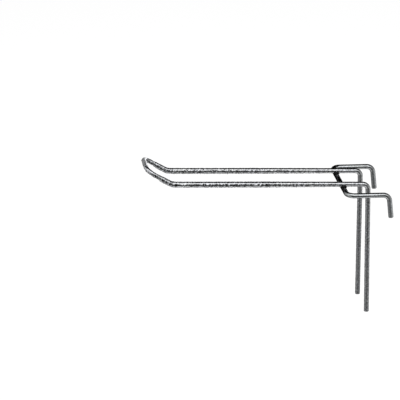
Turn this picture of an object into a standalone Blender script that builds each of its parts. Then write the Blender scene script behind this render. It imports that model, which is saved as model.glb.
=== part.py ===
"""Double gridwall hook: two bent steel wires, joined by two cross-wire welds.

The prong wire is one length of wire. It runs up one leg, out along one prong, up the raised tip,
across to the other prong, and back to the other leg. The mount wire lies under the prongs and
carries the hook: a crossbar, an arm towards the wall on each side, and a claw down behind the
grid. The origin is where the grid's top wire seats, under the arms and midway between them.
+X is to one side, +Y is towards the wall and +Z is up, so the prongs point along -Y.
"""

import math

import bmesh
import bpy
from mathutils import Matrix, Vector

MM = 0.001

# The wire, the same stock for both pieces
WIRE_DIAMETER = 5.25 * MM
END_CHAMFER = 0.35 * MM

# The prong wire, measured along its axis between the corners that its bends round off
PRONG_SPACING = 36.0 * MM
PRONG_LENGTH = 200.0 * MM
PRONG_RISE = math.radians(4.25)
TIP_LENGTH = 29.3 * MM
TIP_RISE = math.radians(29.25)
LEG_LENGTH = 141.0 * MM
LEG_SPLAY = math.radians(1.27)
LEG_BEND_RADIUS = 6.0 * MM
TIP_RISE_RADIUS = 18.5 * MM
TIP_CORNER_RADIUS = 9.5 * MM

# The mount wire, measured the same way
MOUNT_WIDTH = 76.0 * MM
CROSSBAR_AHEAD_OF_LEGS = 25.0 * MM
CLAWS_BEHIND_LEGS = 17.2 * MM
ARM_PITCH = math.radians(2.95)
CLAW_LENGTH = 24.6 * MM
CLAW_LEAN = math.radians(5.65)
ARM_BEND_RADIUS = 7.6 * MM
CLAW_BEND_RADIUS = 7.2 * MM

# The welds, where the prongs are pressed into the crossbar
WELD_SET_DOWN = 0.85 * MM
WELD_FLASH = 1.1 * MM
SEAT_CLEARANCE = 0.3 * MM

# Smoothness of the round forms
DEGREES_PER_STEP = 7.5
WIRE_BEVEL_RESOLUTION = 10
COLLAR_SEGMENTS = 32
COLLAR_RINGS = 16
SMOOTH_ANGLE = math.radians(35)
MERGE_DISTANCE = 0.001 * MM

WIRE_RADIUS = WIRE_DIAMETER / 2
WIRE_AXES_APART = WIRE_DIAMETER - WELD_SET_DOWN
COLLAR_RADIUS = WIRE_RADIUS + WELD_FLASH
SIDES = {"left": -1, "right": 1}


def clear_scene():
    for obj in list(bpy.data.objects):
        bpy.data.objects.remove(obj)


def new_collection(name):
    collection = bpy.data.collections.new(name)
    bpy.context.scene.collection.children.link(collection)
    return collection


def metal(name, colour, roughness):
    material = bpy.data.materials.new(name)
    material.use_nodes = True
    shader = material.node_tree.nodes["Principled BSDF"]
    shader.inputs["Base Color"].default_value = (*colour, 1.0)
    shader.inputs["Metallic"].default_value = 1.0
    shader.inputs["Roughness"].default_value = roughness
    return material


def rounded_corner(before, corner, after, radius):
    """Points of the arc that rounds a corner of the wire's axis, from tangent point to tangent point."""
    towards_before = (before - corner).normalized()
    towards_after = (after - corner).normalized()
    turn = math.pi - towards_before.angle(towards_after)
    setback = radius * math.tan(turn / 2)
    start = corner + towards_before * setback
    bisector = (towards_before + towards_after).normalized()
    centre = corner + bisector * (radius / math.cos(turn / 2))
    axis = (start - centre).cross(-towards_before).normalized()
    steps = max(2, round(math.degrees(turn) / DEGREES_PER_STEP))
    return [centre + Matrix.Rotation(turn * i / steps, 3, axis) @ (start - centre) for i in range(steps + 1)]


def bent_path(corners, radii):
    """The wire's axis: straight runs between its corners, each inner corner bent to its radius."""
    path = [corners[0]]
    for i, radius in enumerate(radii, start=1):
        path += rounded_corner(corners[i - 1], corners[i], corners[i + 1], radius)
    return path + [corners[-1]]


def wire(name, path, collection, material, radius=WIRE_RADIUS):
    """A round wire along a path of points, with flat sawn ends."""
    curve = bpy.data.curves.new(name, "CURVE")
    curve.dimensions = "3D"
    curve.bevel_depth = radius
    curve.bevel_resolution = WIRE_BEVEL_RESOLUTION
    curve.use_fill_caps = True
    spline = curve.splines.new("POLY")
    spline.points.add(len(path) - 1)
    for point, place in zip(spline.points, path):
        point.co = (*place, 1.0)
    obj = bpy.data.objects.new(name, curve)
    collection.objects.link(obj)
    if material:
        curve.materials.append(material)
    return obj


def as_mesh(obj):
    """The same wire as a closed mesh object, so that it can be cut or can cut another."""
    bpy.context.view_layer.update()
    graph = bpy.context.evaluated_depsgraph_get()
    mesh = bpy.data.meshes.new_from_object(obj.evaluated_get(graph))
    form = bmesh.new()
    form.from_mesh(mesh)
    bmesh.ops.remove_doubles(form, verts=form.verts, dist=MERGE_DISTANCE)
    bmesh.ops.recalc_face_normals(form, faces=form.faces)
    form.to_mesh(mesh)
    form.free()
    name = obj.name
    solid = bpy.data.objects.new(name + "_solid", mesh)
    solid.matrix_world = obj.matrix_world
    for collection in obj.users_collection:
        collection.objects.link(solid)
    bpy.data.objects.remove(obj)
    solid.name = name
    return solid


def shade_round(obj):
    obj.data.shade_smooth()
    obj.data.set_sharp_from_angle(angle=SMOOTH_ANGLE)


def chamfer_ends(obj):
    """Takes the sharp edge off each sawn end of a wire."""
    bevel = obj.modifiers.new("end_chamfer", "BEVEL")
    bevel.width = END_CHAMFER
    bevel.segments = 1
    bevel.limit_method = "ANGLE"
    bevel.angle_limit = math.radians(60)


def cut(obj, cutter):
    boolean = obj.modifiers.new("cut_" + cutter.name, "BOOLEAN")
    boolean.operation = "DIFFERENCE"
    boolean.object = cutter


def hide_cutter(obj):
    obj.hide_render = True
    obj.display_type = "WIRE"
    return obj


class HookFrame:
    """The points that the wires run through, worked out from the driving dimensions."""

    def __init__(self):
        self.prong_way = Vector((0, -math.cos(PRONG_RISE), math.sin(PRONG_RISE)))
        self.prong_down = Vector((0, -math.sin(PRONG_RISE), -math.cos(PRONG_RISE)))
        self.tip_way = Vector((0, -math.cos(PRONG_RISE + TIP_RISE), math.sin(PRONG_RISE + TIP_RISE)))
        self.arm_way = Vector((0, math.cos(ARM_PITCH), -math.sin(ARM_PITCH)))
        self.claw_way = Vector((0, math.sin(CLAW_LEAN), -math.cos(CLAW_LEAN)))
        self.slot_half = CLAWS_BEHIND_LEGS / 2
        # The crossbar is as high as brings the underside of the arms down to the origin.
        crossbar_from_leg = self.prong_way * CROSSBAR_AHEAD_OF_LEGS + self.prong_down * WIRE_AXES_APART
        run_to_seat = self.slot_half - crossbar_from_leg.y
        crossbar_height = run_to_seat * math.tan(ARM_PITCH) + WIRE_RADIUS / math.cos(ARM_PITCH)
        self.crossbar = Vector((0, -run_to_seat, crossbar_height))
        self.leg_corner = self.crossbar - crossbar_from_leg

    def prong_corner(self, side):
        return self.leg_corner + Vector((side * PRONG_SPACING / 2, 0, 0))

    def prong_side(self, side):
        """Corner points of one half of the prong wire, from the foot of the leg to the tip."""
        top = self.prong_corner(side)
        splayed = Vector((side * math.sin(LEG_SPLAY), 0, -math.cos(LEG_SPLAY)))
        prong_end = top + self.prong_way * PRONG_LENGTH
        return [top + splayed * LEG_LENGTH, top, prong_end, prong_end + self.tip_way * TIP_LENGTH]

    def mount_side(self, side):
        """Corner points of one half of the mount wire, from the end of the claw to the crossbar."""
        bar_end = self.crossbar + Vector((side * MOUNT_WIDTH / 2, 0, 0))
        run_to_claw = self.slot_half - bar_end.y
        claw_top = bar_end + self.arm_way * (run_to_claw / math.cos(ARM_PITCH))
        return [claw_top + self.claw_way * CLAW_LENGTH, claw_top, bar_end]

    def weld_centre(self, side):
        """The middle of the joint between a prong and the crossbar."""
        on_prong = self.prong_corner(side) + self.prong_way * CROSSBAR_AHEAD_OF_LEGS
        return on_prong + self.prong_down * (WIRE_AXES_APART / 2)


def both_halves(half):
    """A symmetric run of corners: the left half, then the right half from its far end back."""
    return half(SIDES["left"]) + half(SIDES["right"])[::-1]


def make_prong_wire(frame, collection):
    half_radii = [LEG_BEND_RADIUS, TIP_RISE_RADIUS, TIP_CORNER_RADIUS]
    path = bent_path(both_halves(frame.prong_side), half_radii + half_radii[::-1])
    obj = wire("prong_wire", path, collection, metal("prong_plating", (0.62, 0.62, 0.63), 0.28))
    obj = as_mesh(obj)
    chamfer_ends(obj)
    shade_round(obj)
    return obj


def make_mount_wire(frame, collection, seats):
    half_radii = [CLAW_BEND_RADIUS, ARM_BEND_RADIUS]
    path = bent_path(both_halves(frame.mount_side), half_radii + half_radii[::-1])
    obj = wire("mount_wire", path, collection, metal("mount_plating", (0.60, 0.61, 0.61), 0.26))
    obj = as_mesh(obj)
    chamfer_ends(obj)
    for seat in seats.values():
        cut(obj, seat)
    shade_round(obj)
    return obj


def make_prong_seat(frame, side_name, cutters):
    """The prong's own form over the crossbar, grown by the clearance: it cuts the weld seat."""
    middle = frame.prong_corner(SIDES[side_name]) + frame.prong_way * CROSSBAR_AHEAD_OF_LEGS
    reach = frame.prong_way * 2 * COLLAR_RADIUS
    path = [middle - reach, middle + reach]
    seat = wire("prong_seat_" + side_name, path, cutters, None, WIRE_RADIUS + SEAT_CLEARANCE)
    return hide_cutter(as_mesh(seat))


def make_bar_clearance(frame, cutters):
    """The crossbar's own form, grown by the clearance: it cuts the underside of the weld collars."""
    reach = Vector((PRONG_SPACING / 2 + 2 * COLLAR_RADIUS, 0, 0))
    path = [frame.crossbar - reach, frame.crossbar + reach]
    bar = wire("bar_clearance", path, cutters, None, WIRE_RADIUS + SEAT_CLEARANCE)
    return hide_cutter(as_mesh(bar))


def make_weld(frame, side_name, collection, prong_seat, bar_clearance):
    """The collar of metal that the weld squeezed out all round the joint of the two wires."""
    mesh = bpy.data.meshes.new("weld_" + side_name)
    form = bmesh.new()
    bmesh.ops.create_uvsphere(form, u_segments=COLLAR_SEGMENTS, v_segments=COLLAR_RINGS, radius=COLLAR_RADIUS)
    flatten = WIRE_AXES_APART / (2 * COLLAR_RADIUS)
    bmesh.ops.scale(form, vec=(1, 1, flatten), verts=form.verts)
    form.to_mesh(mesh)
    form.free()
    obj = bpy.data.objects.new("weld_" + side_name, mesh)
    obj.location = frame.weld_centre(SIDES[side_name])
    obj.rotation_euler = (-PRONG_RISE, 0, 0)
    collection.objects.link(obj)
    mesh.materials.append(metal("weld_metal_" + side_name, (0.40, 0.40, 0.41), 0.45))
    cut(obj, prong_seat)
    cut(obj, bar_clearance)
    shade_round(obj)
    return obj


def main():
    clear_scene()
    parts = new_collection("double_gridwall_hook")
    cutters = new_collection("cutters")
    frame = HookFrame()
    seats = {name: make_prong_seat(frame, name, cutters) for name in SIDES}
    bar_clearance = make_bar_clearance(frame, cutters)
    make_prong_wire(frame, parts)
    make_mount_wire(frame, parts, seats)
    for name in SIDES:
        make_weld(frame, name, parts, seats[name], bar_clearance)


main()
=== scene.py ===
"""The looks of the double gridwall hook: plated wire with its relief, weld collars, studio and camera.

Lengths are in metres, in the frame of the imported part: +Y towards the wall, +Z up, prongs along -Y.
"""

import math

import bmesh
import bpy
from mathutils import Matrix, Quaternion, Vector, noise

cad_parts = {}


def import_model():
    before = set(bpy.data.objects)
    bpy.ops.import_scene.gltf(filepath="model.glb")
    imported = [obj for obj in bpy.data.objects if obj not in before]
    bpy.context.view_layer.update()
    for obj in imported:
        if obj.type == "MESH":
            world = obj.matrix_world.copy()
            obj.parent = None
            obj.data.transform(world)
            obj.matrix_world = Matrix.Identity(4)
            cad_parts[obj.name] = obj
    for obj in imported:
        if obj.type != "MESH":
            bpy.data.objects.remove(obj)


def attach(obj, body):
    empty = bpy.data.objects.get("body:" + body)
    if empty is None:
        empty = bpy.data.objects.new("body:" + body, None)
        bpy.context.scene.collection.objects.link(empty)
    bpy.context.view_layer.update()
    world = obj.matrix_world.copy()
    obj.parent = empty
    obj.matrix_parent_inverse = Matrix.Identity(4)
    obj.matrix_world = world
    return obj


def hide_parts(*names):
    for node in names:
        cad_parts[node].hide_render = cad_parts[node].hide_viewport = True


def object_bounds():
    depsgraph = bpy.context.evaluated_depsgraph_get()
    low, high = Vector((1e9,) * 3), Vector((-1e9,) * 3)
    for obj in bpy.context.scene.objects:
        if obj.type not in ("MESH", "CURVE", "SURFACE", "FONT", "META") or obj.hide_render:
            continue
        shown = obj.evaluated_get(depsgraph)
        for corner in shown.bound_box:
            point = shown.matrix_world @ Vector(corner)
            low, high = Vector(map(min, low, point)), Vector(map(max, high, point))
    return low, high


MM = 0.001

# The wires' driving dimensions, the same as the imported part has
WIRE_DIAMETER = 5.25 * MM
PRONG_SPACING = 36.0 * MM
PRONG_LENGTH = 200.0 * MM
PRONG_RISE = math.radians(4.25)
TIP_LENGTH = 29.3 * MM
TIP_RISE = math.radians(29.25)
LEG_LENGTH = 141.0 * MM
LEG_SPLAY = math.radians(1.27)
LEG_BEND_RADIUS = 6.0 * MM
TIP_RISE_RADIUS = 18.5 * MM
TIP_CORNER_RADIUS = 9.5 * MM
MOUNT_WIDTH = 76.0 * MM
CROSSBAR_AHEAD_OF_LEGS = 25.0 * MM
CLAWS_BEHIND_LEGS = 17.2 * MM
ARM_PITCH = math.radians(2.95)
CLAW_LENGTH = 24.6 * MM
CLAW_LEAN = math.radians(5.65)
ARM_BEND_RADIUS = 7.6 * MM
CLAW_BEND_RADIUS = 7.2 * MM
WELD_SET_DOWN = 0.85 * MM
WELD_FLASH = 1.1 * MM

WIRE_RADIUS = WIRE_DIAMETER / 2
WIRE_AXES_APART = WIRE_DIAMETER - WELD_SET_DOWN
COLLAR_RADIUS = WIRE_RADIUS + WELD_FLASH
SIDES = {"left": -1, "right": 1}

# How finely the pieces are drawn
RING_STEP = 0.4 * MM
WIRE_SIDES = 36
ARC_STEP = math.radians(1.5)
END_ROUNDING = 0.45 * MM
END_RINGS = 5
COLLAR_SUBDIVISIONS = 5
TENT_SUBDIVISIONS = 5

# The relief of the plating: lumps that slant round the wire, with dips of up to the full depth between them
LUMP_ALONG = 0.95 * MM
LUMP_ROUND = 2.0 * MM
LUMP_SLANT = 0.8
LUMP_DEPTH = 0.90 * MM
LUMP_MIDDLE = 0.5
LUMP_CONTRAST = 0.9
FINE_LUMPS = 2.3
FINE_SHARE = 0.15
# Towards the top of the wire the lumps are only a third as deep
TOP_SHARE = 0.33
TOP_FROM = 0.7
# Painted shade in the dents: where they are painted dark, by how far up or down the skin faces there, and by
# their depth
DARK_FROM = 0.35
DARKEST = -0.10
DARK_TO = -0.60
DENT_SHADE_SHOWS_FROM = 0.32
DENT_SHADE_FULL_FROM = 0.40
# How far the plating is built up on the outer prongs, and how much further underneath
BUILD_UP = 0.36 * MM
UNDERSIDE_BUILD_UP = 0.45 * MM
UNDERSIDE_FROM = 0.2

# Where the relief changes along the prongs, and how much of its depth is left elsewhere
ROUGH_FROM_Y = -20.0 * MM
ROUGH_TO_Y = -120.0 * MM
BARE_TIP_Y = -221.0 * MM
BARE_TIP_FADE = 4.0 * MM
LEGS_BELOW_Z = -10.0 * MM
SMOOTH_SHARE = 0.22
LEG_SHARE = 0.30
MOUNT_SHARE = 0.10
# Where the crossbar is painted dark as shade, under and between the prongs
CROSSBAR_SHADE_BEYOND_Y = -32.5 * MM
CROSSBAR_SHADE_REACH = 30.0 * MM
CROSSBAR_SHADE_FADE = 5.0 * MM

# The lumps on the weld collars, and how far their pattern shifts per metre, so that no two are the same
COLLAR_LUMPS = 2.6
COLLAR_FINE_LUMPS = 6.5
COLLAR_FINE_SHARE = 0.5
COLLAR_LUMP_DEPTH = 0.30 * MM
COLLAR_PATTERN_SHIFT = 1000

# The finish: its tones, which run from one to the other of each pair, and its roughness
PRONG_TONES = ((0.75, 0.75, 0.76), (0.61, 0.61, 0.62))
MOUNT_TONES = ((0.70, 0.71, 0.71), (0.56, 0.57, 0.57))
PASSIVATED_TINTS = ((0.97, 0.99, 1.015), (0.98, 1.0, 0.995))
# Painted shade: the black that the dents facing down are painted
DENT_SHADE_TONE = (0.0, 0.0, 0.0)
# Painted shade: the dark that the crossbar is painted under and between the prongs
CROSSBAR_SHADE_TONE = (0.015, 0.015, 0.015)
SPECK_BRIGHTNESS = (0.62, 1.24)
# How much of the crossbar's painted shade is left, by the patches
CROSSBAR_SHADE_SHARE = (0.94, 1.0)
PLATING_ROUGHNESS = (0.08, 0.18)
WELD_TONES = ((0.03, 0.03, 0.03), (0.01, 0.01, 0.01))
WELD_ROUGHNESS = (0.32, 0.55)
# Its noises, each as scale, detail and roughness
PATCHES = (90.0, 3.0, 0.6)
TINTS = (42.0, 1.0, 0.5)
SPECKS = (700.0, 1.0, 0.5)
PITS = (700.0, 1.0, 0.5)
DRAWN_LINES = (2600.0, 2.0, 0.6)
GRAIN = (3600.0, 2.0, 0.6)
WELD_SPOTS = (900.0, 3.0, 0.6)
WELD_GRAIN = (3200.0, 3.0, 0.6)
# The values of a noise that a range runs between, and those of the tints' noise
NOISE_RANGE = (0.3, 0.7)
TINTS_RANGE = (0.4, 0.6)
# How far the length of the wire is pressed together for the noises that run along it
LINES_PRESSED = 0.03
PITS_PRESSED = 0.7
# The bumps' depths and strengths. The pits are as strong as the relief is deep
PIT_DEPTH = 0.22 * MM
LINE_DEPTH = 0.012 * MM
LINE_STRENGTH = 0.5
GRAIN_DEPTH = 0.010 * MM
GRAIN_STRENGTH = 0.6
WELD_SPOT_DEPTH = 0.15 * MM
WELD_SPOT_STRENGTH = 0.8

# The camera, as it stood to the object in the photograph
CAMERA_AZIMUTH = math.radians(81.58)
CAMERA_ELEVATION = math.radians(23.44)
CAMERA_ROLL = math.radians(-0.742)
CAMERA_DISTANCE = 2.250
CAMERA_AIM = Vector((0.0, -0.17751, -0.00508))
CAMERA_LENS = 200.87
SENSOR_WIDTH = 36.0
CLIP_START = 0.1
CLIP_END = 50.0

# The studio. In front is the camera's side, +X, and on the right is the wall's side, +Y
FLOOR_BELOW_FEET = 0.060
FLOOR_SIZE = 14.0
FLOOR_GREY = 0.86
FLOOR_LIFT = 0.455
AMBIENT = 0.55
SOFTBOX_SIZE = 1.3
SOFTBOX_IN_FRONT = 0.25
SOFTBOX_HEIGHT = 1.6
SOFTBOX_POWER = 6.0
TENT_RADIUS = 1.5
# The cards' tones by elevation in degrees, on each side of the set
CARDS_IN_FRONT = [
    (-90, 0.55), (-60, 0.90), (-48, 0.62), (-36, 0.03), (-27, 0.18), (-20, 0.18), (-14, 0.02), (12, 0.02)
]
CARDS_BEHIND = [
    (-90, 0.28), (-62, 0.08), (-42, 0.08), (-26, 0.15), (0, 0.30), (26, 0.36), (36, 0.01), (70, 0.01)
]
CARDS_LEFT = [(-90, 0.30), (-50, 0.28), (-20, 0.30), (-6, 0.66), (25, 0.70), (50, 0.75), (75, 0.58)]
CARDS_RIGHT = [(-90, 0.32), (-50, 0.28), (-25, 0.30), (-15, 0.62), (0, 0.50), (30, 0.20), (60, 0.05)]
CARDS_BLEND = 0.25
SIDE_CARDS_FROM = 0.40
SIDE_CARDS_FULL = 0.90
# The strip light, in parts of the tent's radius
STRIP_TONE = (1.32, 1.32, 1.32)
STRIP_CENTRE = 0.50
STRIP_HALF_WIDTH = 0.38
STRIP_SLANT = 0.40
STRIP_EDGE = 0.08
STRIP_FOOT = 0.35
STRIP_LEFT_RISE = 0.5
# The white card, by its azimuth from +X towards +Y, its elevation and its half angle
WHITE_CARD_AZIMUTH = math.radians(150)
WHITE_CARD_ELEVATION = math.radians(-6)
WHITE_CARD_REACH = math.radians(20)
WHITE_CARD_EDGE = math.radians(5)
# The black card, by two corners in Y and Z
BLACK_CARD_BEHIND = 0.15
BLACK_CARD = ((-0.12, -0.26), (0.32, 0.32))
BLACK_CARD_TONE = (0.004, 0.004, 0.004)


def rounded_corner(before, corner, after, radius):
    """Points of the arc that rounds a corner of the wire's axis."""
    towards_before = (before - corner).normalized()
    towards_after = (after - corner).normalized()
    turn = math.pi - towards_before.angle(towards_after)
    start = corner + towards_before * (radius * math.tan(turn / 2))
    bisector = (towards_before + towards_after).normalized()
    centre = corner + bisector * (radius / math.cos(turn / 2))
    axis = (start - centre).cross(-towards_before).normalized()
    steps = math.ceil(turn / ARC_STEP)
    return [centre + Matrix.Rotation(turn * i / steps, 3, axis) @ (start - centre) for i in range(steps + 1)]


def bent_path(corners, radii):
    path = [corners[0]]
    for i, radius in enumerate(radii, start=1):
        path += rounded_corner(corners[i - 1], corners[i], corners[i + 1], radius)
    return path + [corners[-1]]


def mirrored_path(half, radii):
    """The axis of a wire whose halves mirror each other, from the corners and bends of one, its end first."""
    corners = half(SIDES["left"]) + half(SIDES["right"])[::-1]
    return bent_path(corners, radii + radii[::-1])


class HookFrame:
    """The points that the wires run through."""

    def __init__(self):
        self.prong_way = Vector((0, -math.cos(PRONG_RISE), math.sin(PRONG_RISE)))
        self.prong_down = Vector((0, -math.sin(PRONG_RISE), -math.cos(PRONG_RISE)))
        self.tip_way = Vector((0, -math.cos(PRONG_RISE + TIP_RISE), math.sin(PRONG_RISE + TIP_RISE)))
        self.arm_way = Vector((0, math.cos(ARM_PITCH), -math.sin(ARM_PITCH)))
        self.claw_way = Vector((0, math.sin(CLAW_LEAN), -math.cos(CLAW_LEAN)))
        self.slot_half = CLAWS_BEHIND_LEGS / 2
        crossbar_from_leg = self.prong_way * CROSSBAR_AHEAD_OF_LEGS + self.prong_down * WIRE_AXES_APART
        run_to_seat = self.slot_half - crossbar_from_leg.y
        crossbar_height = run_to_seat * math.tan(ARM_PITCH) + WIRE_RADIUS / math.cos(ARM_PITCH)
        self.crossbar = Vector((0, -run_to_seat, crossbar_height))
        self.leg_corner = self.crossbar - crossbar_from_leg

    def prong_corner(self, side):
        return self.leg_corner + Vector((side * PRONG_SPACING / 2, 0, 0))

    def prong_side(self, side):
        top = self.prong_corner(side)
        splayed = Vector((side * math.sin(LEG_SPLAY), 0, -math.cos(LEG_SPLAY)))
        prong_end = top + self.prong_way * PRONG_LENGTH
        return [top + splayed * LEG_LENGTH, top, prong_end, prong_end + self.tip_way * TIP_LENGTH]

    def mount_side(self, side):
        bar_end = self.crossbar + Vector((side * MOUNT_WIDTH / 2, 0, 0))
        run_to_claw = self.slot_half - bar_end.y
        claw_top = bar_end + self.arm_way * (run_to_claw / math.cos(ARM_PITCH))
        return [claw_top + self.claw_way * CLAW_LENGTH, claw_top, bar_end]

    def prong_over_crossbar(self, side):
        return self.prong_corner(side) + self.prong_way * CROSSBAR_AHEAD_OF_LEGS

    def weld_centre(self, side):
        return self.prong_over_crossbar(side) + self.prong_down * (WIRE_AXES_APART / 2)


def even_steps(path, step):
    """The path's points respaced evenly, with the distance of each along it."""
    lengths = [0.0]
    for a, b in zip(path, path[1:]):
        lengths.append(lengths[-1] + (b - a).length)
    count = round(lengths[-1] / step)
    points, distances, k = [], [], 0
    for i in range(count + 1):
        s = lengths[-1] * i / count
        while k < len(path) - 2 and lengths[k + 1] < s:
            k += 1
        share = (s - lengths[k]) / (lengths[k + 1] - lengths[k])
        points.append(path[k].lerp(path[k + 1], share))
        distances.append(s)
    return points, distances


def swept_frames(points):
    """A tangent and two cross directions at each point, turned as little as possible along the way."""
    last = len(points) - 1
    tangents = [(points[min(i + 1, last)] - points[max(i - 1, 0)]).normalized() for i in range(last + 1)]
    across = tangents[0].orthogonal().normalized()
    frames = []
    for tangent in tangents:
        across = (across - tangent * across.dot(tangent)).normalized()
        frames.append((tangent, across, tangent.cross(across)))
    return frames


def object_from(name, form, material=None):
    """An object in the scene that takes its mesh from the form, which is then freed."""
    mesh = bpy.data.meshes.new(name)
    form.to_mesh(mesh)
    form.free()
    if material:
        mesh.materials.append(material)
    obj = bpy.data.objects.new(name, mesh)
    bpy.context.scene.collection.objects.link(obj)
    return obj


def new_piece(name, form, material):
    obj = object_from(name, form, material)
    obj.data.shade_smooth()
    return obj


def slanted(skin):
    """Where a point of the skin lies in the pattern of the lumps, which run round the wire at a slant."""
    round_wire = skin.z + LUMP_SLANT * skin.y
    along = skin.y - LUMP_SLANT * skin.z
    return Vector((skin.x / LUMP_ROUND, along / LUMP_ALONG, round_wire / LUMP_ROUND))


def within(value):
    return min(1.0, max(0.0, value))


def peaked(value, low, peak, high):
    """1 at the peak, and less on both sides, down to 0 at low and high."""
    return within(min((value - low) / (peak - low), (high - value) / (high - peak)))


def plated_wire(name, path, roughness_at, build_up_at, crossbar_shade_at, material):
    """A round wire with lumpy plating and rounded sawn ends.

    Each point also holds its place on the same wire pulled straight, which the finish follows.
    """
    points, distances = even_steps(path, RING_STEP)
    frames = swept_frames(points)
    form = bmesh.new()
    straight = form.verts.layers.float_vector.new("straight")
    rough = form.verts.layers.float.new("rough")
    crossbar_shade = form.verts.layers.float.new("crossbar_shade")
    dent_shade = form.verts.layers.float.new("dent_shade")

    def ring(centre, frame, distance, radius):
        _, across, up = frame
        share = roughness_at(centre)
        radius += BUILD_UP * build_up_at(centre)
        drip = UNDERSIDE_BUILD_UP * build_up_at(centre)
        verts = []
        for j in range(WIRE_SIDES):
            angle = 2 * math.pi * j / WIRE_SIDES
            out = across * math.cos(angle) + up * math.sin(angle)
            skin = centre + out * (radius + drip * within(UNDERSIDE_FROM - out.z))
            place = slanted(skin)
            lump = noise.noise(place) + FINE_SHARE * noise.noise(place * FINE_LUMPS)
            depth = share * (TOP_SHARE + (1 - TOP_SHARE) * within(TOP_FROM - out.z))
            dip = depth * within(LUMP_MIDDLE + LUMP_CONTRAST * lump)
            vert = form.verts.new(skin - out * (LUMP_DEPTH * dip))
            vert[straight] = (distance, WIRE_RADIUS * math.cos(angle), WIRE_RADIUS * math.sin(angle))
            vert[rough] = depth
            # Painted shade: how dark the crossbar is painted here
            vert[crossbar_shade] = crossbar_shade_at(centre)
            # Painted shade: the dents that face down are marked to be painted dark
            vert[dent_shade] = dip * peaked(out.z, DARK_TO, DARKEST, DARK_FROM)
            verts.append(vert)
        return verts

    def rounded_end(centre, frame, distance, way):
        """Rings that turn the wire's edge over into its end face, from the side inwards."""
        rings = []
        for i in range(1, END_RINGS + 1):
            angle = math.pi / 2 * i / END_RINGS
            inset = END_ROUNDING * (1 - math.cos(angle))
            drop = END_ROUNDING * (math.sin(angle) - 1)
            rings.append(ring(centre + frame[0] * (way * drop), frame, distance, WIRE_RADIUS - inset))
        return rings

    body = [
        ring(point, frame, distance, WIRE_RADIUS)
        for point, frame, distance in zip(points[1:-1], frames[1:-1], distances[1:-1])
    ]
    head = rounded_end(points[0], frames[0], distances[0], -1)[::-1]
    foot = rounded_end(points[-1], frames[-1], distances[-1], 1)
    rings = head + body + foot
    for a, b in zip(rings, rings[1:]):
        for j in range(WIRE_SIDES):
            k = (j + 1) % WIRE_SIDES
            form.faces.new((a[j], a[k], b[k], b[j]))
    for end in (rings[0][::-1], rings[-1]):
        form.faces.new(end)
    bmesh.ops.recalc_face_normals(form, faces=form.faces)
    return new_piece(name, form, material)


def node_in(tree, kind, **settings):
    node = tree.nodes.new(kind)
    for key, value in settings.items():
        setattr(node, key, value)
    return node


def attribute(tree, name, output="Fac"):
    return node_in(tree, "ShaderNodeAttribute", attribute_name=name).outputs[output]


def object_place(tree):
    return node_in(tree, "ShaderNodeTexCoord").outputs["Object"]


def noise_of(tree, vector, scale, detail, roughness):
    node = node_in(tree, "ShaderNodeTexNoise")
    node.inputs["Scale"].default_value = scale
    node.inputs["Detail"].default_value = detail
    node.inputs["Roughness"].default_value = roughness
    tree.links.new(vector, node.inputs["Vector"])
    return node.outputs["Fac"]


def pressed(tree, vector, along):
    """The straightened wire's coordinates, pressed together lengthwise, which draws a noise out along it."""
    node = node_in(tree, "ShaderNodeMapping")
    node.inputs["Scale"].default_value = (along, 1.0, 1.0)
    tree.links.new(vector, node.inputs["Vector"])
    return node.outputs["Vector"]


def ranged(tree, value, from_range=NOISE_RANGE, to_range=(0.0, 1.0)):
    node = node_in(tree, "ShaderNodeMapRange")
    node.inputs["From Min"].default_value, node.inputs["From Max"].default_value = from_range
    node.inputs["To Min"].default_value, node.inputs["To Max"].default_value = to_range
    tree.links.new(value, node.inputs["Value"])
    return node.outputs["Result"]


def maths(tree, operation, first, second=None):
    node = node_in(tree, "ShaderNodeMath", operation=operation)
    for value, socket in zip((first, second), node.inputs):
        if isinstance(value, float):
            socket.default_value = value
        elif value is not None:
            tree.links.new(value, socket)
    return node.outputs["Value"]


def plain(tree, tone):
    node = node_in(tree, "ShaderNodeRGB")
    node.outputs[0].default_value = (*tone, 1.0)
    return node.outputs[0]


def mixed(tree, factor, first, second):
    node = node_in(tree, "ShaderNodeMix", data_type="RGBA")
    tree.links.new(factor, node.inputs["Factor"])
    tree.links.new(first, node.inputs["A"])
    tree.links.new(second, node.inputs["B"])
    return node.outputs["Result"]


def multiplied(tree, first, second):
    node = node_in(tree, "ShaderNodeMix", data_type="RGBA", blend_type="MULTIPLY")
    node.inputs["Factor"].default_value = 1.0
    tree.links.new(first, node.inputs["A"])
    tree.links.new(second, node.inputs["B"])
    return node.outputs["Result"]


def between(tree, factor, tones):
    first, second = tones
    return mixed(tree, factor, plain(tree, first), plain(tree, second))


def bumped(tree, height, distance, strength, normal=None):
    node = node_in(tree, "ShaderNodeBump")
    node.inputs["Distance"].default_value = distance
    tree.links.new(height, node.inputs["Height"])
    if isinstance(strength, float):
        node.inputs["Strength"].default_value = strength
    else:
        tree.links.new(strength, node.inputs["Strength"])
    if normal:
        tree.links.new(normal, node.inputs["Normal"])
    return node.outputs["Normal"]


def new_material(name):
    material = bpy.data.materials.new(name)
    material.use_nodes = True
    tree = material.node_tree
    return material, tree, tree.nodes["Principled BSDF"]


def glowing_material(name):
    """A material that only gives off light, with the node that its colour goes to."""
    material, tree, shader = new_material(name)
    tree.nodes.remove(shader)
    glow = node_in(tree, "ShaderNodeEmission")
    tree.links.new(glow.outputs["Emission"], tree.nodes["Material Output"].inputs["Surface"])
    return material, tree, glow


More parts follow.
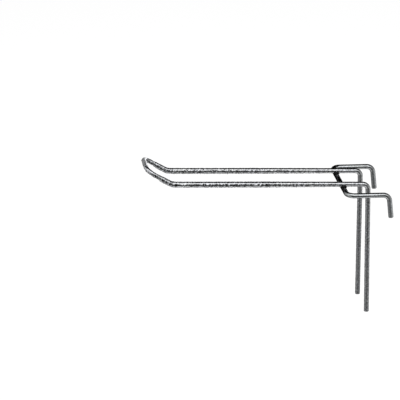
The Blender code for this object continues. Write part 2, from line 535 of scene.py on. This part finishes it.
def plating(name, tones):
    """Bright plating on drawn wire: faint lines, pits and grain, with a patchy shine and tint, painted shade
    in the dents that face down, and painted shade on the crossbar.
    """
    material, tree, shader = new_material(name)
    straight = attribute(tree, "straight", "Vector")
    patches = noise_of(tree, straight, *PATCHES)
    tints = noise_of(tree, straight, *TINTS)
    specks = noise_of(tree, straight, *SPECKS)
    pits = noise_of(tree, pressed(tree, straight, PITS_PRESSED), *PITS)
    lines = noise_of(tree, pressed(tree, straight, LINES_PRESSED), *DRAWN_LINES)
    grain = noise_of(tree, straight, *GRAIN)

    shine = between(tree, ranged(tree, patches), tones)
    tint = between(tree, ranged(tree, tints, TINTS_RANGE), PASSIVATED_TINTS)
    tone = multiplied(tree, shine, tint)
    tone = multiplied(tree, tone, ranged(tree, specks, to_range=SPECK_BRIGHTNESS))
    # Painted shade: the dents that face down are painted black
    dent_shaded = ranged(tree, attribute(tree, "dent_shade"), (DENT_SHADE_SHOWS_FROM, DENT_SHADE_FULL_FROM))
    tone = mixed(tree, dent_shaded, tone, plain(tree, DENT_SHADE_TONE))
    # Painted shade: the crossbar is painted dark under and between the prongs
    painted_crossbar_shade = maths(tree, "MULTIPLY", ranged(tree, patches, to_range=CROSSBAR_SHADE_SHARE), attribute(tree, "crossbar_shade"))
    tone = mixed(tree, painted_crossbar_shade, tone, plain(tree, CROSSBAR_SHADE_TONE))
    tree.links.new(tone, shader.inputs["Base Color"])
    tree.links.new(ranged(tree, grain, to_range=PLATING_ROUGHNESS), shader.inputs["Roughness"])
    shader.inputs["Metallic"].default_value = 1.0

    normal = bumped(tree, pits, PIT_DEPTH, attribute(tree, "rough"))
    normal = bumped(tree, lines, LINE_DEPTH, LINE_STRENGTH, normal)
    normal = bumped(tree, grain, GRAIN_DEPTH, GRAIN_STRENGTH, normal)
    tree.links.new(normal, shader.inputs["Normal"])
    return material


def weld_metal():
    """Plated weld metal: lumpy, duller and darker than the wire."""
    material, tree, shader = new_material("weld_metal")
    place = object_place(tree)
    spots = noise_of(tree, place, *WELD_SPOTS)
    grain = noise_of(tree, place, *WELD_GRAIN)
    tree.links.new(between(tree, spots, WELD_TONES), shader.inputs["Base Color"])
    tree.links.new(ranged(tree, grain, to_range=WELD_ROUGHNESS), shader.inputs["Roughness"])
    shader.inputs["Metallic"].default_value = 1.0
    tree.links.new(bumped(tree, spots, WELD_SPOT_DEPTH, WELD_SPOT_STRENGTH), shader.inputs["Normal"])
    return material


def share_along_prongs(place):
    """0 where the prongs are still smooth, near the mount, and 1 from where they are at their roughest."""
    return within((place.y - ROUGH_FROM_Y) / (ROUGH_TO_Y - ROUGH_FROM_Y))


def roughness_of_prongs(place):
    """How lumpy the plating is: most on the outer prongs and the tip, less near the mount and on the legs."""
    if place.z < LEGS_BELOW_Z:
        return LEG_SHARE
    return SMOOTH_SHARE + (1 - SMOOTH_SHARE) * share_along_prongs(place)


def roughness_of_mount(place):
    return MOUNT_SHARE


def build_up_of_prongs(place):
    """How far the plating stands proud: on the rough outer prongs, but not round the tip's end."""
    return share_along_prongs(place) * within((place.y - BARE_TIP_Y) / BARE_TIP_FADE)


def nowhere(place):
    return 0.0


def crossbar_painted_shade(place):
    """Painted shade: the crossbar is painted dark under and between the prongs, up to its bends."""
    if place.y > CROSSBAR_SHADE_BEYOND_Y:
        return 0.0
    return within((CROSSBAR_SHADE_REACH + CROSSBAR_SHADE_FADE - abs(place.x)) / CROSSBAR_SHADE_FADE)


def cylinder(name, start, end):
    """A plain closed cylinder as thick as the wire between two points, used to cut with."""
    form = bmesh.new()
    way = end - start
    bmesh.ops.create_cone(
        form,
        cap_ends=True,
        segments=2 * WIRE_SIDES,
        radius1=WIRE_RADIUS,
        radius2=WIRE_RADIUS,
        depth=way.length,
        matrix=Matrix.Translation((start + end) / 2) @ way.to_track_quat("Z", "Y").to_matrix().to_4x4(),
    )
    return object_from(name, form)


def cut_away(obj, cutters):
    """Cuts the cutters from obj, leaving one plain mesh."""
    for cutter in cutters:
        boolean = obj.modifiers.new("cut", "BOOLEAN")
        boolean.operation = "DIFFERENCE"
        boolean.object = cutter
    bpy.context.view_layer.update()
    graph = bpy.context.evaluated_depsgraph_get()
    mesh = bpy.data.meshes.new_from_object(obj.evaluated_get(graph))
    obj.modifiers.clear()
    obj.data = mesh


def weld_collar(name, centre, material):
    """The lumpy metal that the weld squeezed out round the joint."""
    form = bmesh.new()
    bmesh.ops.create_icosphere(form, subdivisions=COLLAR_SUBDIVISIONS, radius=COLLAR_RADIUS)
    pattern = centre * COLLAR_PATTERN_SHIFT
    for vert in form.verts:
        out = vert.co.normalized()
        fine_lump = noise.noise(out * COLLAR_FINE_LUMPS + pattern)
        lump = noise.noise(out * COLLAR_LUMPS + pattern) + COLLAR_FINE_SHARE * fine_lump
        vert.co = vert.co - out * (COLLAR_LUMP_DEPTH * max(0.0, LUMP_MIDDLE + lump))
    tilt = Matrix.Rotation(-PRONG_RISE, 4, "X")
    flatten = Matrix.Diagonal((1, 1, WIRE_AXES_APART / (2 * COLLAR_RADIUS), 1))
    bmesh.ops.transform(form, matrix=Matrix.Translation(centre) @ tilt @ flatten, verts=form.verts)
    return new_piece(name, form, material)


def make_prong_wire(frame):
    path = mirrored_path(frame.prong_side, [LEG_BEND_RADIUS, TIP_RISE_RADIUS, TIP_CORNER_RADIUS])
    prongs = plated_wire(
        "prong_wire_plated",
        path,
        roughness_of_prongs,
        build_up_of_prongs,
        nowhere,
        plating("prong_plating", PRONG_TONES),
    )
    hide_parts("prong_wire")
    return prongs


def make_mount_wire(frame, seats):
    """The mount wire, with the seats of both prongs cut into its crossbar."""
    path = mirrored_path(frame.mount_side, [CLAW_BEND_RADIUS, ARM_BEND_RADIUS])
    mount = plated_wire(
        "mount_wire_plated",
        path,
        roughness_of_mount,
        nowhere,
        crossbar_painted_shade,
        plating("mount_plating", MOUNT_TONES),
    )
    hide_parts("mount_wire")
    cut_away(mount, seats.values())
    return mount


def make_collars(frame, bar, seats):
    """A weld collar at each crossing, with the crossbar and the prong's seat cut out of it."""
    weld_finish = weld_metal()
    collars = []
    for name, side in SIDES.items():
        collar = weld_collar("weld_collar_" + name, frame.weld_centre(side), weld_finish)
        cut_away(collar, [seats[name], bar])
        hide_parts("weld_" + name)
        collars.append(collar)
    return collars


def crossbar_form(frame):
    reach = Vector((MOUNT_WIDTH / 2, 0, 0))
    return cylinder("bar_form", frame.crossbar - reach, frame.crossbar + reach)


def seat_forms(frame):
    """The short lengths of the prongs over the crossbar, by the name of their side."""
    along = frame.prong_way * (2 * COLLAR_RADIUS)
    seats = {}
    for name, side in SIDES.items():
        middle = frame.prong_over_crossbar(side)
        seats[name] = cylinder("seat_form_" + name, middle - along, middle + along)
    return seats


def make_hook(frame):
    bar = crossbar_form(frame)
    seats = seat_forms(frame)
    pieces = [make_prong_wire(frame), make_mount_wire(frame, seats), *make_collars(frame, bar, seats)]
    for form in [bar, *seats.values()]:
        bpy.data.objects.remove(form)
    for piece in pieces:
        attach(piece, "root")


def seen_by_camera(tree):
    return node_in(tree, "ShaderNodeLightPath").outputs["Is Camera Ray"]


def make_world():
    """White where the camera sees it, and a plain even fill light for the rest."""
    world = bpy.data.worlds.new("studio")
    world.use_nodes = True
    bpy.context.scene.world = world
    tree = world.node_tree
    background = tree.nodes["Background"]
    background.inputs["Color"].default_value = (1.0, 1.0, 1.0, 1.0)
    strength = ranged(tree, seen_by_camera(tree), (0.0, 1.0), (AMBIENT, 1.0))
    tree.links.new(strength, background.inputs["Strength"])


def make_floor(height):
    """A pale matt floor, lifted to white where the camera sees it."""
    material, tree, shader = new_material("floor_paper")
    shader.inputs["Base Color"].default_value = (FLOOR_GREY, FLOOR_GREY, FLOOR_GREY, 1.0)
    shader.inputs["Roughness"].default_value = 1.0
    shader.inputs["Specular IOR Level"].default_value = 0.0
    shader.inputs["Emission Color"].default_value = (1.0, 1.0, 1.0, 1.0)
    lift = maths(tree, "MULTIPLY", seen_by_camera(tree), FLOOR_LIFT)
    tree.links.new(lift, shader.inputs["Emission Strength"])
    form = bmesh.new()
    bmesh.ops.create_grid(form, x_segments=1, y_segments=1, size=FLOOR_SIZE / 2)
    bmesh.ops.translate(form, vec=(0, 0, height), verts=form.verts)
    floor = object_from("floor", form, material)
    floor.visible_glossy = False


def tone_by_height(tree, height, steps):
    """A smooth run of grey tones from straight down to straight up, given as (elevation, tone) steps."""
    ramp = node_in(tree, "ShaderNodeValToRGB")
    elements = ramp.color_ramp.elements
    ready_made = len(elements)
    for i, (elevation, tone) in enumerate(steps):
        position = (1 + math.sin(math.radians(elevation))) / 2
        element = elements[i] if i < ready_made else elements.new(position)
        element.position = position
        element.color = (tone, tone, tone, 1.0)
    tree.links.new(height, ramp.inputs["Fac"])
    return ramp.outputs["Color"]


def seen_only_in_metal(obj):
    """Leaves a card out of everything but the metal's reflections."""
    for kind in ("camera", "diffuse", "transmission", "volume_scatter", "shadow"):
        setattr(obj, "visible_" + kind, False)


def grey_cards(tree, x, y, z):
    """The tones of the cards that stand in front, behind and on both sides."""
    height = ranged(tree, z, (-1.0, 1.0))
    front = tone_by_height(tree, height, CARDS_IN_FRONT)
    behind = tone_by_height(tree, height, CARDS_BEHIND)
    left = tone_by_height(tree, height, CARDS_LEFT)
    right = tone_by_height(tree, height, CARDS_RIGHT)
    ends = mixed(tree, ranged(tree, x, (-CARDS_BLEND, CARDS_BLEND)), behind, front)
    sides = mixed(tree, ranged(tree, y, (-CARDS_BLEND, CARDS_BLEND)), left, right)
    sideways = ranged(tree, maths(tree, "ABSOLUTE", y), (SIDE_CARDS_FROM, SIDE_CARDS_FULL))
    return mixed(tree, sideways, ends, sides)


def strip_light(tree, x, y, z):
    """1 on the strip light, which slants forwards to the right and ends higher up on the left."""
    straightened = maths(tree, "SUBTRACT", x, maths(tree, "MULTIPLY", y, STRIP_SLANT))
    off_centre = maths(tree, "ABSOLUTE", maths(tree, "SUBTRACT", straightened, STRIP_CENTRE))
    edge = (STRIP_HALF_WIDTH, STRIP_HALF_WIDTH + STRIP_EDGE)
    across = ranged(tree, off_centre, edge, (1.0, 0.0))
    lowered = maths(tree, "MULTIPLY", maths(tree, "MINIMUM", y, 0.0), STRIP_LEFT_RISE)
    above = ranged(tree, maths(tree, "ADD", z, lowered), (STRIP_FOOT, STRIP_FOOT + STRIP_EDGE))
    return maths(tree, "MULTIPLY", across, above)


def white_card(tree, way):
    """1 on the white card, a round one that stands behind on the right."""
    facing = node_in(tree, "ShaderNodeVectorMath", operation="DOT_PRODUCT")
    level = math.cos(WHITE_CARD_ELEVATION)
    x = level * math.cos(WHITE_CARD_AZIMUTH)
    y = level * math.sin(WHITE_CARD_AZIMUTH)
    facing.inputs[1].default_value = (x, y, math.sin(WHITE_CARD_ELEVATION))
    tree.links.new(way, facing.inputs[0])
    edge = (math.cos(WHITE_CARD_REACH + WHITE_CARD_EDGE), math.cos(WHITE_CARD_REACH))
    return ranged(tree, facing.outputs["Value"], edge)


def make_tent(centre):
    """A ball round the set that only the metal mirrors. It holds the cards and the strip light.

    The grey cards are dark above and at eye level in front, and paler below and to the sides.
    """
    material, tree, glow = glowing_material("cards")
    unit = node_in(tree, "ShaderNodeVectorMath", operation="NORMALIZE")
    tree.links.new(object_place(tree), unit.inputs[0])
    way = unit.outputs["Vector"]
    parts = node_in(tree, "ShaderNodeSeparateXYZ")
    tree.links.new(way, parts.inputs["Vector"])
    x, y, z = (parts.outputs[axis] for axis in "XYZ")
    white = maths(tree, "MAXIMUM", strip_light(tree, x, y, z), white_card(tree, way))
    lit = mixed(tree, white, grey_cards(tree, x, y, z), plain(tree, STRIP_TONE))
    tree.links.new(lit, glow.inputs["Color"])
    form = bmesh.new()
    # A UV sphere would list its faces in another order each run, and the noise would differ
    bmesh.ops.create_icosphere(form, subdivisions=TENT_SUBDIVISIONS, radius=TENT_RADIUS)
    tent = object_from("cards", form, material)
    tent.location = centre
    seen_only_in_metal(tent)


def make_black_card():
    """A black card that stands behind the bracket, beyond the far prong."""
    material, _, glow = glowing_material("black_card")
    glow.inputs["Color"].default_value = (*BLACK_CARD_TONE, 1.0)
    form = bmesh.new()
    (y0, z0), (y1, z1) = BLACK_CARD
    corners = ((y0, z0), (y1, z0), (y1, z1), (y0, z1))
    form.faces.new([form.verts.new((-BLACK_CARD_BEHIND, y, z)) for y, z in corners])
    seen_only_in_metal(object_from("black_card", form, material))


def make_softbox(centre):
    """The one lamp, a large soft one overhead."""
    lamp = bpy.data.lights.new("softbox", "AREA")
    lamp.shape = "SQUARE"
    lamp.size = SOFTBOX_SIZE
    lamp.energy = SOFTBOX_POWER
    obj = bpy.data.objects.new("softbox", lamp)
    obj.location = centre + Vector((SOFTBOX_IN_FRONT, 0.0, SOFTBOX_HEIGHT))
    obj.rotation_mode = "QUATERNION"
    obj.rotation_quaternion = (centre - obj.location).to_track_quat("-Z", "Y")
    obj.visible_camera = False
    bpy.context.scene.collection.objects.link(obj)


def make_camera():
    camera = bpy.data.cameras.new("camera")
    camera.lens = CAMERA_LENS
    camera.sensor_width = SENSOR_WIDTH
    camera.clip_start = CLIP_START
    camera.clip_end = CLIP_END
    obj = bpy.data.objects.new("camera", camera)
    a, e = CAMERA_AZIMUTH, CAMERA_ELEVATION
    back = Vector((math.sin(a) * math.cos(e), -math.cos(a) * math.cos(e), math.sin(e)))
    obj.location = CAMERA_AIM + back * CAMERA_DISTANCE
    obj.rotation_mode = "QUATERNION"
    obj.rotation_quaternion = (-back).to_track_quat("-Z", "Y") @ Quaternion((0, 0, 1), CAMERA_ROLL)
    bpy.context.scene.collection.objects.link(obj)
    bpy.context.scene.camera = obj


def main():
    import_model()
    cad_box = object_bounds()
    bpy.context.scene.view_settings.view_transform = "Standard"
    make_camera()
    make_hook(HookFrame())
    low, high = cad_box
    centre = (low + high) / 2
    make_world()
    make_floor(low.z - FLOOR_BELOW_FEET)
    make_tent(centre)
    make_black_card()
    make_softbox(centre)


main()
